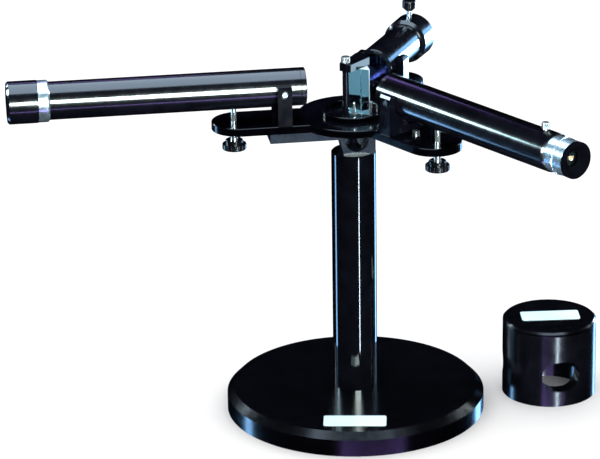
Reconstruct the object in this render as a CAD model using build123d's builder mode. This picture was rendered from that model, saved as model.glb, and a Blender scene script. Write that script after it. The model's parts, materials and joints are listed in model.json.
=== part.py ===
"""Table spectroscope: base, column, prism table with three arms and three tubes, and a loose cover."""

import os
from math import cos, radians, sin, sqrt

from build123d import *

os.makedirs("parts", exist_ok=True)

# Shared fits and gaps
seat_gap = 0.02
thread_gap = 0.03
running_gap = 0.05
thrust_gap = 0.05

# Base
base_radius = 100.0
base_height = 18.3
base_bevel = 5.2
base_relief_radius = 88.0
base_relief_depth = 1.0
column_seat_depth = 6.0
base_boss_radius = 30.0
base_label_width = 47.7
base_label_depth = 18.7
base_label_turn = -2.0
base_label_x = -1.8
base_label_y = 25.2 - base_radius
label_thickness = 0.4
label_corner = 2.0

# Column
column_radius = 17.15
column_top = 210.7
column_rim = 1.0
column_seat_radius = 13.0
column_spigot_radius = 8.0
column_spigot_length = 7.0
column_spigot_end_gap = 1.0

# Levels of the table
plate_thickness = 6.0
plate_top = column_top + 29.8
plate_bottom = plate_top - plate_thickness
disc_radius = 42.9
disc_edge = 0.5
groove_width = 0.5
groove_depth = 0.4

# Hub block with the bar under the collimator arm
hub_half_width = 10.7
hub_right_end = 15.4
hub_left_foot = 9.0
hub_left_top = 12.0
hub_bar_bottom = column_top + 12.3
hub_bar_end = 65.0
hub_disc_screws = [(29.0, 6.0), (29.0, -6.0)]
hub_arm_screws = [(46.5, 0.0), (60.0, 0.0)]
hub_pocket_radius = 20.5
hub_pocket_floor = column_top + 17.0
window_radius = 8.9
window_shift = -1.0
window_centre_z = column_top + 11.0
window_top = column_top + 13.8
window_back = -4.5
hub_screw_radius = 1.5
hub_screw_head = 2.7
hub_screw_head_height = 1.7
hub_screw_reach = 8.0
hub_screw_places = [(6.0, -7.5), (-6.0, -7.5), (-12.0, 0.0)]

# Spindle, washer and swing carrier
spindle_spigot_radius = 4.0
spindle_spigot_depth = 10.0
spindle_radius = 6.0
spindle_foot_top = column_top + 2.1
waist_radius = 2.2
waist_z = column_top + 7.3
washer_ring_radius = 14.0
washer_ring_thickness = 0.5
carrier_ring_radius = 19.5
carrier_half_width = 8.0
carrier_end = 72.0
carrier_step_radius = 43.1
disc_clearance = 0.2
disc_spigot_depth = 2.0
disc_screw_radius = 2.0
disc_screw_head = 4.0
disc_screw_head_height = 2.0

# Rear bar
rear_bar_start = 24.0

# Arm plates
arm_centre = 87.5
arm_half_width = 21.0
fixed_arm_gap = 0.05
swing_arm_gap = 0.35
arm_edge = 0.4
carrier_screw_along = 67.0
inner_screw_along = 47.0
arm_screw_radius = 1.5
arm_screw_head = 2.7
arm_screw_head_height = 2.0
arm_screw_depth = 4.5

# Brackets
bracket_start = 49.6
bracket_length = 10.8
bracket_half_width = 20.0
bracket_top = plate_top + 30.5
bracket_crown = 2.0
slot_half_width = 14.8
slot_shoulder_z = plate_top + 19.5
slot_floor_half = 5.0
slot_floor_z = plate_top + 5.5
bracket_screw_lateral = 17.0
bracket_screw_head = 2.6
bracket_screw_rise = 8.0

# Pivot screws
pivot_along = bracket_start + bracket_length / 2
pivot_sink_radius = 3.0
pivot_sink_depth = 1.5
pivot_head_radius = 2.15
pivot_head_height = 1.3
pivot_shank_radius = 1.72
pivot_tip_radius = 1.5
pivot_tip_end = 13.0
screw_slot_width = 0.6
screw_slot_depth = 0.6

# Levelling screws
levelling_along = 91.5
rod_radius = 1.95
rod_tip_z = plate_top + 10.1
stem_radius = 2.8
stem_top = column_top + 22.3
knob_bottom = column_top + 7.5
knob_rim_height = 4.5
knob_radius = 9.15
knob_boss_radius = 6.65
knob_boss_height = 3.0
knob_scallops = 20
knob_scallop_radius = 1.0
knob_scallop_bite = 0.45
rod_foot_z = column_top + 8.7

# Tubes in common
tube_axis_z = plate_top + 24.65
tube_radius = 14.43
tube_bore = 12.4
tube_start = 41.6
objective_face = 37.3
objective_joint = 41.2
objective_neck_radius = 13.2
objective_neck_end = 46.5
objective_opening = 11.2
lens_seat = 39.0
lens_radius = 12.38
lens_edge = 2.5
lens_bulge = 0.8
lens_rest = 0.2
ring_edge = 0.5

# Collimator end
collimator_end = 230.4
slit_sleeve_start = 205.0
collar_face_gap = 0.1
collar_radius = 15.9
collar_edge = 1.2
collar_end = 238.9
slit_neck_radius = 12.9
slit_neck_end = 248.0
slit_bore = 10.8
slit_plate_thickness = 1.2
slit_opening_width = 2.4
slit_opening_height = 11.0
jaw_height = 14.0
jaw_width = 8.0
jaw_thickness = 0.8
jaw_gap = 0.1
rail_height = 1.6
rail_thickness = 1.4
rail_clearance = 0.2
slit_cap_radius = 16.2
slit_cap_start = 239.0
slit_cap_lip = 244.0
slit_cap_chamber = 14.2
slit_cap_end = 262.0
slit_cap_wall = 3.0
slit_cap_bevel = 1.4
slit_window_radius = 5.0
slit_glass_radius = 8.0
slit_glass_thickness = 1.5

# Telescope end
telescope_end = 219.0
telescope_tip = 0.9
draw_start = 195.0
draw_radius = 13.0
draw_guide_start = 188.0
draw_bore = 11.5
ridge_start = 227.0
ridge_end = 229.0
ridge_radius = 13.6
head_start = 229.6
head_radius = 13.45
head_end = 238.0
eyecup_end = 241.0
eyecup_radius = 13.6
eyecup_spigot_start = 231.5
eye_opening = 5.6
eye_lens_radius = 9.0
eye_seat = 234.6
field_lens_radius = 12.0
field_lens_seat = 199.0
reticle_start = 214.0
reticle_thickness = 2.0
reticle_opening = 7.5
lock_along = 207.9
lock_shank_radius = 1.5
lock_head_radius = 2.95
lock_head_gap = 1.2
lock_head_height = 4.8

# Scale tube end
scale_tube_end = 121.0
scale_cap_start = 104.8
scale_cap_radius = 17.5
scale_cap_lip_radius = 15.0
scale_cap_shoulder = 2.4
scale_cap_end = 127.2
scale_cap_edge = 0.8
scale_cap_window = 9.0
scale_glass_start = 123.3
scale_glass_end = 125.0
scale_glass_radius = 12.5
scale_screw_along = 117.0
scale_stem_radius = 2.0
scale_knob_base = plate_top + 47.5
scale_knob_flare = plate_top + 49.9
scale_knob_radius = 5.35
scale_knob_top = plate_top + 55.5
scale_knob_edge = 1.0

# Prism platform, prism and clamp
platform_radius = 24.5
platform_bore = 20.5
platform_top = plate_top + 3.8
platform_sink = 0.8
prism_side = 21.5
prism_height = 36.0
prism_x = 4.6
prism_y = 4.1
prism_turn = 68.8
prism_edge = 0.3
pin_radius = 1.0
pin_top = plate_top + 12.0
pin_sink = 2.5
pin_places = [(0.5, -10.8), (13.1, -9.2)]
post_x = -5.6
post_y = -9.5
post_radius = 2.5
post_sink_radius = 2.0
post_sink = 4.0
clamp_bottom = plate_top + 36.5
clamp_top = plate_top + 42.7
clamp_outline = [
    (-10.2, -8.8), (-5.6, -13.2), (-1.8, -13.8), (12.6, 5.4),
    (9.2, 13.2), (2.6, 16.4), (-1.6, 7.4), (-8.8, -3.6),
]
clamp_pad_radius = 4.0
clamp_screw_radius = 1.5
clamp_screw_head = 3.55
clamp_head_gap = 0.4
clamp_head_height = 4.8
clamp_screw_tip = plate_top + 27.5

# Cover
cover_x = 152.8
cover_y = 25.0
cover_radius = 36.57
cover_height = 61.7
cover_bevel = 1.5
cover_lid_thickness = 3.2
cover_joint_edge = 0.35
cover_cavity_radius = 24.9
cover_plug_depth = 6.5
port_centre_z = 24.6
port_half_height = 12.25
port_shift = 2.75
port_azimuths = [-78.0, 162.0, 41.0]
cover_label_width = 45.5
cover_label_depth = 17.6
cover_label_turn = 3.0
cover_label_x = 153.4
cover_label_y = 25.8

# Azimuth of each arm, sideways shift of its plate and of its tube
arms = {
    "collimator": (187.9, 2.0, 3.1),
    "scale": (68.1, -2.7, -2.7),
    "telescope": (308.9, 4.6, 4.6),
}


def outward(azimuth):
    """Unit vector pointing out along an arm."""
    return Vector(cos(radians(azimuth)), sin(radians(azimuth)), 0)


def sideways(azimuth):
    """Unit vector pointing left of an arm as seen looking out along it."""
    return Vector(-sin(radians(azimuth)), cos(radians(azimuth)), 0)


def level_plane(azimuth, lateral, height):
    """Horizontal plane with x along the arm and y sideways."""
    shift = sideways(azimuth) * lateral
    return Plane(origin=(shift.X, shift.Y, height), x_dir=outward(azimuth), z_dir=(0, 0, 1))


def cross_plane(azimuth, lateral, along):
    """Upright plane across the arm with x sideways and y upward, facing outward."""
    place = sideways(azimuth) * lateral + outward(azimuth) * along
    return Plane(origin=place, x_dir=sideways(azimuth), z_dir=outward(azimuth))


def side_plane(azimuth, lateral):
    """Upright plane through a tube's axis with x outward and y up from the axis."""
    shift = sideways(azimuth) * lateral
    return Plane(
        origin=(shift.X, shift.Y, tube_axis_z),
        x_dir=outward(azimuth),
        z_dir=sideways(azimuth) * -1,
    )


def tube_line(azimuth, lateral):
    """Axis of a tube."""
    shift = sideways(azimuth) * lateral
    return Axis((shift.X, shift.Y, tube_axis_z), outward(azimuth))


def pivot_plane(azimuth, lateral, side, reach):
    """Plane facing sideways at a given reach from the tube's axis, on the pivot line."""
    place = sideways(azimuth) * (lateral + side * reach) + outward(azimuth) * pivot_along
    across = sideways(azimuth) * side
    return Plane(origin=(place.X, place.Y, tube_axis_z), x_dir=outward(azimuth), z_dir=across)


def spot(azimuth, lateral, along, height):
    """Horizontal plane centred over one place on an arm."""
    place = sideways(azimuth) * lateral + outward(azimuth) * along
    return Plane(origin=(place.X, place.Y, height), x_dir=outward(azimuth), z_dir=(0, 0, 1))


def sag(height, edge_height, depth):
    """Fall of a lens surface at a height from its axis."""
    ball = (edge_height**2 + depth**2) / (2 * depth)
    return ball - sqrt(ball**2 - height**2)


# Base plate: turned disc with a bevelled rim, a relief ring underneath and a tapped middle
column_spigot_bottom = base_height - column_seat_depth - column_spigot_length
with BuildPart() as base_plate:
    with BuildSketch():
        Circle(base_radius)
    extrude(amount=base_height)
    chamfer(base_plate.edges().group_by(Axis.Z)[-1], length=base_bevel)
    with BuildSketch():
        Circle(base_relief_radius)
        Circle(base_boss_radius, mode=Mode.SUBTRACT)
    extrude(amount=base_relief_depth, mode=Mode.SUBTRACT)
    with BuildSketch(Plane.XY.offset(column_spigot_bottom - column_spigot_end_gap)):
        Circle(column_spigot_radius + thread_gap)
    extrude(amount=base_height, mode=Mode.SUBTRACT)
    with BuildSketch(Plane.XY.offset(base_height - column_seat_depth)):
        Circle(column_seat_radius + running_gap)
    extrude(amount=column_seat_depth, mode=Mode.SUBTRACT)
base_plate.part.label = "base_plate"
export_step(base_plate.part, "parts/base_plate.step")

# Bare label plate on the base
with BuildPart() as base_label_plate:
    with BuildSketch(Plane.XY.offset(base_height)):
        with Locations(Location((base_label_x, base_label_y, 0), (0, 0, base_label_turn))):
            RectangleRounded(base_label_width, base_label_depth, label_corner)
    extrude(amount=label_thickness)
base_label_plate.part.label = "base_label_plate"
export_step(base_label_plate.part, "parts/base_label_plate.step")

# Column: turned bar with a seat and a threaded spigot below and a bored, tapped head
with BuildPart() as column:
    with BuildSketch(Plane.XY.offset(column_spigot_bottom)):
        Circle(column_spigot_radius)
    extrude(amount=column_spigot_length)
    with BuildSketch(Plane.XY.offset(base_height - column_seat_depth)):
        Circle(column_seat_radius)
    extrude(amount=column_seat_depth)
    with BuildSketch(Plane.XY.offset(base_height)):
        Circle(column_radius)
    extrude(amount=column_top - base_height)
    chamfer(column.edges().group_by(Axis.Z)[-1], length=column_rim)
    with BuildSketch(Plane.XY.offset(column_top)):
        Circle(spindle_spigot_radius + seat_gap)
    extrude(amount=-spindle_spigot_depth, mode=Mode.SUBTRACT)
    with BuildSketch(level_plane(187.9, 0, column_top)):
        with Locations(*hub_screw_places):
            Circle(hub_screw_radius + thread_gap)
    extrude(amount=-hub_screw_reach - 1, mode=Mode.SUBTRACT)
column.part.label = "column"
export_step(column.part, "parts/column.step")

# Hub block: one milled piece, foot on the column, bar under the collimator arm, window in its front
hub_azimuth = arms["collimator"][0]
hub_front = Plane(
    origin=sideways(hub_azimuth) * hub_half_width,
    x_dir=outward(hub_azimuth) * -1,
    z_dir=sideways(hub_azimuth),
)
with BuildPart() as hub_block:
    with BuildSketch(hub_front):
        with BuildLine():
            Polyline(
                (hub_right_end, column_top),
                (-hub_left_foot, column_top),
                (-hub_left_top, hub_bar_bottom),
                (-hub_bar_end, hub_bar_bottom),
                (-hub_bar_end, plate_bottom),
                (hub_right_end, plate_bottom),
                close=True,
            )
        make_face()
    extrude(amount=-2 * hub_half_width)
    with BuildSketch(Plane.XY.offset(hub_pocket_floor)):
        Circle(hub_pocket_radius)
    extrude(amount=plate_bottom - hub_pocket_floor + 1, mode=Mode.SUBTRACT)
    with BuildSketch(hub_front):
        with Locations((-window_shift, window_centre_z)):
            Circle(window_radius)
        with Locations((-window_shift, window_top + window_radius)):
            Rectangle(4 * window_radius, 2 * window_radius, mode=Mode.SUBTRACT)
    extrude(amount=window_back - hub_half_width, mode=Mode.SUBTRACT)
    with BuildSketch(Plane.XY.offset(column_top)):
        Circle(spindle_radius + seat_gap)
    extrude(amount=hub_pocket_floor - column_top + 1, mode=Mode.SUBTRACT)
    with BuildSketch(level_plane(hub_azimuth, 0, column_top)):
        with Locations(*hub_screw_places):
            Circle(hub_screw_radius + 0.15)
    extrude(amount=hub_pocket_floor - column_top + 1, mode=Mode.SUBTRACT)
    with BuildSketch(level_plane(hub_azimuth, 0, hub_pocket_floor)):
        with Locations(*hub_screw_places):
            Circle(hub_screw_head + 0.15)
    extrude(amount=-hub_screw_head_height - 0.2, mode=Mode.SUBTRACT)
    with BuildSketch(level_plane(hub_azimuth, 0, hub_bar_bottom)):
        with Locations(*hub_disc_screws, *hub_arm_screws):
            Circle(arm_screw_radius + 0.15)
    extrude(amount=plate_bottom - hub_bar_bottom, mode=Mode.SUBTRACT)
    with BuildSketch(level_plane(hub_azimuth, 0, hub_bar_bottom)):
        with Locations(*hub_disc_screws, *hub_arm_screws):
            Circle(arm_screw_head + 0.2)
    extrude(amount=arm_screw_head_height + 4.0, mode=Mode.SUBTRACT)
hub_block.part.label = "hub_block"
export_step(hub_block.part, "parts/hub_block.step")

# Spindle: waisted post that carries the disc and guides the swing carrier
with BuildPart() as spindle:
    with BuildSketch(Plane.XZ):
        with BuildLine():
            Polyline(
                (0, column_top - spindle_spigot_depth + 0.3),
                (spindle_spigot_radius, column_top - spindle_spigot_depth + 0.3),
                (spindle_spigot_radius, column_top),
                (spindle_radius, column_top),
                (spindle_radius, spindle_foot_top),
                (waist_radius, waist_z),
                (spindle_radius, window_top),
                (spindle_radius, plate_bottom),
                (spindle_spigot_radius, plate_bottom),
                (spindle_spigot_radius, plate_bottom + disc_spigot_depth),
                (0, plate_bottom + disc_spigot_depth),
                close=True,
            )
        make_face()
    revolve(axis=Axis.Z)
    with BuildSketch(Plane.XY.offset(plate_bottom + disc_spigot_depth)):
        Circle(disc_screw_radius + thread_gap)
    extrude(amount=-11, mode=Mode.SUBTRACT)
spindle.part.label = "spindle"
export_step(spindle.part, "parts/spindle.step")

# Thrust washer under the swing carrier
with BuildPart() as swing_washer:
    with BuildSketch(Plane.XY.offset(hub_pocket_floor)):
        Circle(washer_ring_radius)
        Circle(spindle_radius + seat_gap, mode=Mode.SUBTRACT)
    extrude(amount=washer_ring_thickness)
swing_washer.part.label = "swing_washer"
export_step(swing_washer.part, "parts/swing_washer.step")

# Table disc with the seat for the platform ring, pins, post and screws
with BuildPart() as table_disc:
    with BuildSketch(Plane.XY.offset(plate_bottom)):
        Circle(disc_radius)
    extrude(amount=plate_thickness)
    chamfer(table_disc.edges().filter_by(GeomType.CIRCLE), length=disc_edge)
    with BuildSketch(Plane.XY.offset(plate_bottom + plate_thickness / 2 - groove_width / 2)):
        Circle(disc_radius)
        Circle(disc_radius - groove_depth, mode=Mode.SUBTRACT)
    extrude(amount=groove_width, mode=Mode.SUBTRACT)
    with BuildSketch(Plane.XY.offset(plate_top)):
        Circle(platform_radius + seat_gap)
        Circle(platform_bore - seat_gap, mode=Mode.SUBTRACT)
    extrude(amount=-platform_sink, mode=Mode.SUBTRACT)
    with BuildSketch(Plane.XY.offset(plate_bottom)):
        Circle(spindle_spigot_radius + seat_gap)
    extrude(amount=disc_spigot_depth, mode=Mode.SUBTRACT)
    with BuildSketch(Plane.XY.offset(plate_bottom)):
        Circle(disc_screw_radius + 0.15)
    extrude(amount=plate_thickness, mode=Mode.SUBTRACT)
    with BuildSketch(Plane.XY.offset(plate_top - disc_screw_head_height - 0.2)):
        Circle(disc_screw_head + 0.15)
    extrude(amount=disc_screw_head_height + 0.2, mode=Mode.SUBTRACT)
    with BuildSketch(Plane.XY.offset(plate_top)):
        with Locations(*pin_places):
            Circle(pin_radius + thread_gap)
    extrude(amount=-pin_sink, mode=Mode.SUBTRACT)
    with BuildSketch(Plane.XY.offset(plate_top)):
        with Locations((post_x, post_y)):
            Circle(post_sink_radius + thread_gap)
    extrude(amount=-post_sink, mode=Mode.SUBTRACT)
    with BuildSketch(level_plane(hub_azimuth, 0, plate_bottom)):
        with Locations(*hub_disc_screws):
            Circle(arm_screw_radius + thread_gap)
    extrude(amount=arm_screw_depth, mode=Mode.SUBTRACT)
    with BuildSketch(level_plane(arms["scale"][0], arms["scale"][1], plate_bottom)):
        with Locations((30.0, 4.5), (30.0, -4.5)):
            Circle(arm_screw_radius + thread_gap)
    extrude(amount=arm_screw_depth, mode=Mode.SUBTRACT)
table_disc.part.label = "table_disc"
export_step(table_disc.part, "parts/table_disc.step")

# Screws of the table: three into the column, one in the middle of the disc, two up through each fixed bar
rear_bar_bottom = hub_pocket_floor + washer_ring_thickness + thrust_gap
with BuildPart() as table_screws:
    with BuildSketch(level_plane(hub_azimuth, 0, hub_pocket_floor - hub_screw_head_height - 0.2)):
        with Locations(*hub_screw_places):
            Circle(hub_screw_head)
    extrude(amount=hub_screw_head_height)
    with BuildSketch(level_plane(hub_azimuth, 0, column_top - hub_screw_reach)):
        with Locations(*hub_screw_places):
            Circle(hub_screw_radius)
    extrude(amount=hub_pocket_floor - hub_screw_head_height - 0.2 - column_top + hub_screw_reach)
    with BuildSketch(Plane.XY.offset(plate_top - disc_screw_head_height - 0.2)):
        Circle(disc_screw_head)
    extrude(amount=disc_screw_head_height)
    with BuildSketch(Plane.XY.offset(plate_top - disc_screw_head_height - 0.2)):
        Circle(disc_screw_radius)
    extrude(amount=-11)
    with BuildSketch(level_plane(hub_azimuth, 0, hub_bar_bottom + 4.0)):
        with Locations(*hub_disc_screws):
            Circle(arm_screw_head)
    extrude(amount=arm_screw_head_height)
    with BuildSketch(level_plane(hub_azimuth, 0, hub_bar_bottom + 4.0 + arm_screw_head_height)):
        with Locations(*hub_disc_screws):
            Circle(arm_screw_radius)
    extrude(amount=plate_bottom + arm_screw_depth - 0.5 - hub_bar_bottom - 4.0 - arm_screw_head_height)
    with BuildSketch(level_plane(arms["scale"][0], arms["scale"][1], rear_bar_bottom - 1.2)):
        with Locations((30.0, 4.5), (30.0, -4.5)):
            Circle(arm_screw_head)
    extrude(amount=arm_screw_head_height)
    with BuildSketch(
        level_plane(arms["scale"][0], arms["scale"][1], rear_bar_bottom - 1.2 + arm_screw_head_height),
    ):
        with Locations((30.0, 4.5), (30.0, -4.5)):
            Circle(arm_screw_radius)
    extrude(amount=plate_bottom + arm_screw_depth - 0.5 - rear_bar_bottom + 1.2 - arm_screw_head_height)
table_screws.part.label = "table_screws"
export_step(table_screws.part, "parts/table_screws.step")

# Rear bar joining the scale arm to the disc
with BuildPart() as rear_bar:
    with BuildSketch(level_plane(arms["scale"][0], arms["scale"][1], rear_bar_bottom)):
        with Locations(((rear_bar_start + carrier_end) / 2, 0)):
            Rectangle(carrier_end - rear_bar_start, 2 * carrier_half_width)
    extrude(amount=plate_bottom - rear_bar_bottom)
    chamfer(rear_bar.edges().filter_by(Axis.Z), length=1.0)
    with BuildSketch(level_plane(arms["scale"][0], arms["scale"][1], rear_bar_bottom)):
        with Locations((30.0, 4.5), (30.0, -4.5), (inner_screw_along, 0)):
            Circle(arm_screw_radius + 0.15)
    extrude(amount=plate_bottom - rear_bar_bottom, mode=Mode.SUBTRACT)
    with BuildSketch(level_plane(arms["scale"][0], arms["scale"][1], rear_bar_bottom)):
        with Locations((30.0, 4.5), (30.0, -4.5), (inner_screw_along, 0)):
            Circle(arm_screw_head + 0.15)
    extrude(amount=arm_screw_head_height - 1.2, mode=Mode.SUBTRACT)
    with BuildSketch(level_plane(arms["scale"][0], arms["scale"][1], plate_bottom)):
        with Locations((carrier_screw_along, 0)):
            Circle(arm_screw_radius + thread_gap)
    extrude(amount=-arm_screw_depth, mode=Mode.SUBTRACT)
rear_bar.part.label = "rear_bar"
export_step(rear_bar.part, "parts/rear_bar.step")

# Swing carrier: ring around the spindle with the bar under the telescope arm
telescope_azimuth, telescope_plate_shift, telescope_shift = arms["telescope"]
with BuildPart() as swing_carrier:
    with BuildSketch(level_plane(telescope_azimuth, telescope_plate_shift, rear_bar_bottom)):
        with Locations((0, -telescope_plate_shift)):
            Circle(carrier_ring_radius)
        with Locations((carrier_end / 2, 0)):
            Rectangle(carrier_end, 2 * carrier_half_width)
        with Locations((0, -telescope_plate_shift)):
            Circle(spindle_radius + running_gap, mode=Mode.SUBTRACT)
    extrude(amount=plate_bottom - rear_bar_bottom)
    with BuildSketch(Plane.XY.offset(plate_bottom - disc_clearance)):
        Circle(carrier_step_radius)
    extrude(amount=disc_clearance + 1, mode=Mode.SUBTRACT)
    with BuildSketch(level_plane(telescope_azimuth, telescope_plate_shift, rear_bar_bottom)):
        with Locations((inner_screw_along, 0)):
            Circle(arm_screw_radius + 0.15)
    extrude(amount=plate_bottom - rear_bar_bottom, mode=Mode.SUBTRACT)
    with BuildSketch(level_plane(telescope_azimuth, telescope_plate_shift, rear_bar_bottom)):
        with Locations((inner_screw_along, 0)):
            Circle(arm_screw_head + 0.15)
    extrude(amount=arm_screw_head_height - 1.2, mode=Mode.SUBTRACT)
    with BuildSketch(level_plane(telescope_azimuth, telescope_plate_shift, plate_bottom)):
        with Locations((carrier_screw_along, 0)):
            Circle(arm_screw_radius + thread_gap)
    extrude(amount=-arm_screw_depth, mode=Mode.SUBTRACT)
swing_carrier.part.label = "swing_carrier"
export_step(swing_carrier.part, "parts/swing_carrier.step")

pivot_sets = {}
screw_sets = {}

# Arm plates, brackets, their screws, pivots and levelling screws, once for each arm
for name, (azimuth, plate_shift, tube_shift) in arms.items():
    rim_gap = swing_arm_gap if name == "telescope" else fixed_arm_gap
    middle = tube_shift - plate_shift

    with BuildPart() as arm_plate:
        with BuildSketch(level_plane(azimuth, plate_shift, plate_bottom)):
            with Locations((arm_centre / 2, 0)):
                Rectangle(arm_centre, 2 * arm_half_width)
            with Locations((arm_centre, 0)):
                Circle(arm_half_width)
            with Locations((0, -plate_shift)):
                Circle(disc_radius + rim_gap, mode=Mode.SUBTRACT)
        extrude(amount=plate_thickness)
        chamfer(arm_plate.faces().sort_by(Axis.Z)[-1].outer_wire().edges(), length=arm_edge)
        with BuildSketch(level_plane(azimuth, plate_shift, plate_bottom)):
            with Locations((levelling_along, 0)):
                Circle(rod_radius + running_gap)
        extrude(amount=plate_thickness, mode=Mode.SUBTRACT)
        with BuildSketch(level_plane(azimuth, plate_shift, plate_bottom)):
            with Locations(
                (pivot_along, middle + bracket_screw_lateral),
                (pivot_along, middle - bracket_screw_lateral),
            ):
                Circle(arm_screw_radius + 0.15)
        extrude(amount=plate_thickness, mode=Mode.SUBTRACT)
        with BuildSketch(level_plane(azimuth, plate_shift, plate_bottom)):
            with Locations(
                (pivot_along, middle + bracket_screw_lateral),
                (pivot_along, middle - bracket_screw_lateral),
            ):
                Circle(bracket_screw_head + 0.15)
        extrude(amount=arm_screw_head_height + 0.2, mode=Mode.SUBTRACT)
        if name == "collimator":
            with BuildSketch(level_plane(azimuth, 0, plate_bottom)):
                with Locations(*hub_arm_screws):
                    Circle(arm_screw_radius + thread_gap)
            extrude(amount=arm_screw_depth, mode=Mode.SUBTRACT)
        else:
            with BuildSketch(level_plane(azimuth, plate_shift, plate_bottom)):
                with Locations((inner_screw_along, 0)):
                    Circle(arm_screw_radius + thread_gap)
            extrude(amount=arm_screw_depth, mode=Mode.SUBTRACT)
            with BuildSketch(level_plane(azimuth, plate_shift, plate_bottom)):
                with Locations((carrier_screw_along, 0)):
                    Circle(arm_screw_radius + 0.15)
            extrude(amount=plate_thickness, mode=Mode.SUBTRACT)
    arm_plate.part.label = name + "_arm"
    export_step(arm_plate.part, "parts/" + name + "_arm.step")

    with BuildPart() as bracket:
        with BuildSketch(cross_plane(azimuth, tube_shift, bracket_start)):
            with BuildLine():
                Polyline(
                    (-bracket_half_width, plate_top),
                    (bracket_half_width, plate_top),
                    (bracket_half_width, bracket_top - bracket_crown),
                    (bracket_half_width - bracket_crown / 2, bracket_top),
                    (slot_half_width, bracket_top),
                    (slot_half_width, slot_shoulder_z),
                    (slot_floor_half, slot_floor_z),
                    (-slot_floor_half, slot_floor_z),
                    (-slot_half_width, slot_shoulder_z),
                    (-slot_half_width, bracket_top),
                    (-bracket_half_width + bracket_crown / 2, bracket_top),
                    (-bracket_half_width, bracket_top - bracket_crown),
                    close=True,
                )
            make_face()
        extrude(amount=bracket_length)
        for side in (1, -1):
            with BuildSketch(pivot_plane(azimuth, tube_shift, side, bracket_half_width)):
                Circle(pivot_shank_radius + thread_gap)
            extrude(amount=slot_half_width - bracket_half_width - 1, mode=Mode.SUBTRACT)
            with BuildSketch(pivot_plane(azimuth, tube_shift, side, bracket_half_width)):
                Circle(pivot_sink_radius)
            extrude(amount=-pivot_sink_depth, mode=Mode.SUBTRACT)
        with BuildSketch(level_plane(azimuth, tube_shift, plate_top)):
            with Locations((pivot_along, bracket_screw_lateral), (pivot_along, -bracket_screw_lateral)):
                Circle(arm_screw_radius + thread_gap)
        extrude(amount=bracket_screw_rise + 0.5, mode=Mode.SUBTRACT)
    bracket.part.label = name + "_bracket"
    export_step(bracket.part, "parts/" + name + "_bracket.step")

    with BuildPart() as pivots:
        for side in (1, -1):
            with BuildSketch(pivot_plane(azimuth, tube_shift, side, bracket_half_width - pivot_sink_depth)):
                Circle(pivot_head_radius)
            extrude(amount=pivot_head_height)
            with BuildSketch(pivot_plane(azimuth, tube_shift, side, bracket_half_width - pivot_sink_depth)):
                Circle(pivot_shank_radius)
            extrude(amount=slot_half_width - bracket_half_width + pivot_sink_depth)
            with BuildSketch(pivot_plane(azimuth, tube_shift, side, slot_half_width)):
                Circle(pivot_tip_radius)
            extrude(amount=pivot_tip_end - slot_half_width)
            face_reach = bracket_half_width - pivot_sink_depth + pivot_head_height
            with BuildSketch(pivot_plane(azimuth, tube_shift, side, face_reach)):
                Rectangle(screw_slot_width, 3 * pivot_head_radius)
            extrude(amount=-screw_slot_depth, mode=Mode.SUBTRACT)
    pivot_sets[name] = pivots.part

    with BuildPart() as arm_screws:
        with BuildSketch(level_plane(azimuth, tube_shift, plate_bottom + 0.2)):
            with Locations((pivot_along, bracket_screw_lateral), (pivot_along, -bracket_screw_lateral)):
                Circle(bracket_screw_head)
        extrude(amount=arm_screw_head_height)
        with BuildSketch(level_plane(azimuth, tube_shift, plate_bottom + 0.2 + arm_screw_head_height)):
            with Locations((pivot_along, bracket_screw_lateral), (pivot_along, -bracket_screw_lateral)):
                Circle(arm_screw_radius)
        extrude(amount=plate_thickness - 0.2 - arm_screw_head_height + bracket_screw_rise)
        if name == "collimator":
            with BuildSketch(level_plane(azimuth, 0, hub_bar_bottom + 4.0)):
                with Locations(*hub_arm_screws):
                    Circle(arm_screw_head)
            extrude(amount=arm_screw_head_height)
            with BuildSketch(level_plane(azimuth, 0, hub_bar_bottom + 4.0 + arm_screw_head_height)):
                with Locations(*hub_arm_screws):
                    Circle(arm_screw_radius)
            extrude(
                amount=plate_bottom - hub_bar_bottom - 4.0 - arm_screw_head_height + arm_screw_depth - 0.5,
            )
        else:
            with BuildSketch(level_plane(azimuth, plate_shift, rear_bar_bottom - 1.2)):
                with Locations((inner_screw_along, 0)):
                    Circle(arm_screw_head)
            extrude(amount=arm_screw_head_height)
            with BuildSketch(
                level_plane(azimuth, plate_shift, rear_bar_bottom - 1.2 + arm_screw_head_height),
            ):
                with Locations((inner_screw_along, 0)):
                    Circle(arm_screw_radius)
            extrude(
                amount=plate_bottom - rear_bar_bottom + 1.2 - arm_screw_head_height + arm_screw_depth - 0.5,
            )
            with BuildSketch(spot(azimuth, plate_shift, carrier_screw_along, plate_top)):
                Circle(arm_screw_head)
            extrude(amount=arm_screw_head_height)
            with BuildSketch(spot(azimuth, plate_shift, carrier_screw_along, plate_top)):
                Circle(arm_screw_radius)
            extrude(amount=-plate_thickness - arm_screw_depth + 0.5)
            with BuildSketch(
                spot(azimuth, plate_shift, carrier_screw_along, plate_top + arm_screw_head_height),
            ):
                Rectangle(screw_slot_width, 3 * arm_screw_head)
            extrude(amount=-screw_slot_depth, mode=Mode.SUBTRACT)
    screw_sets[name] = arm_screws.part

    with BuildPart() as levelling_screw:
        with BuildSketch(spot(azimuth, plate_shift, levelling_along, rod_foot_z)):
            Circle(rod_radius)
        extrude(amount=rod_tip_z - rod_foot_z)
        chamfer(levelling_screw.edges().group_by(Axis.Z)[-1], length=0.4)
        with BuildSketch(
            spot(azimuth, plate_shift, levelling_along, knob_bottom + knob_rim_height + knob_boss_height),
        ):
            Circle(stem_radius)
        extrude(amount=stem_top - knob_bottom - knob_rim_height - knob_boss_height)
    levelling_screw.part.label = name + "_levelling_screw"
    export_step(levelling_screw.part, "parts/" + name + "_levelling_screw.step")

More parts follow.
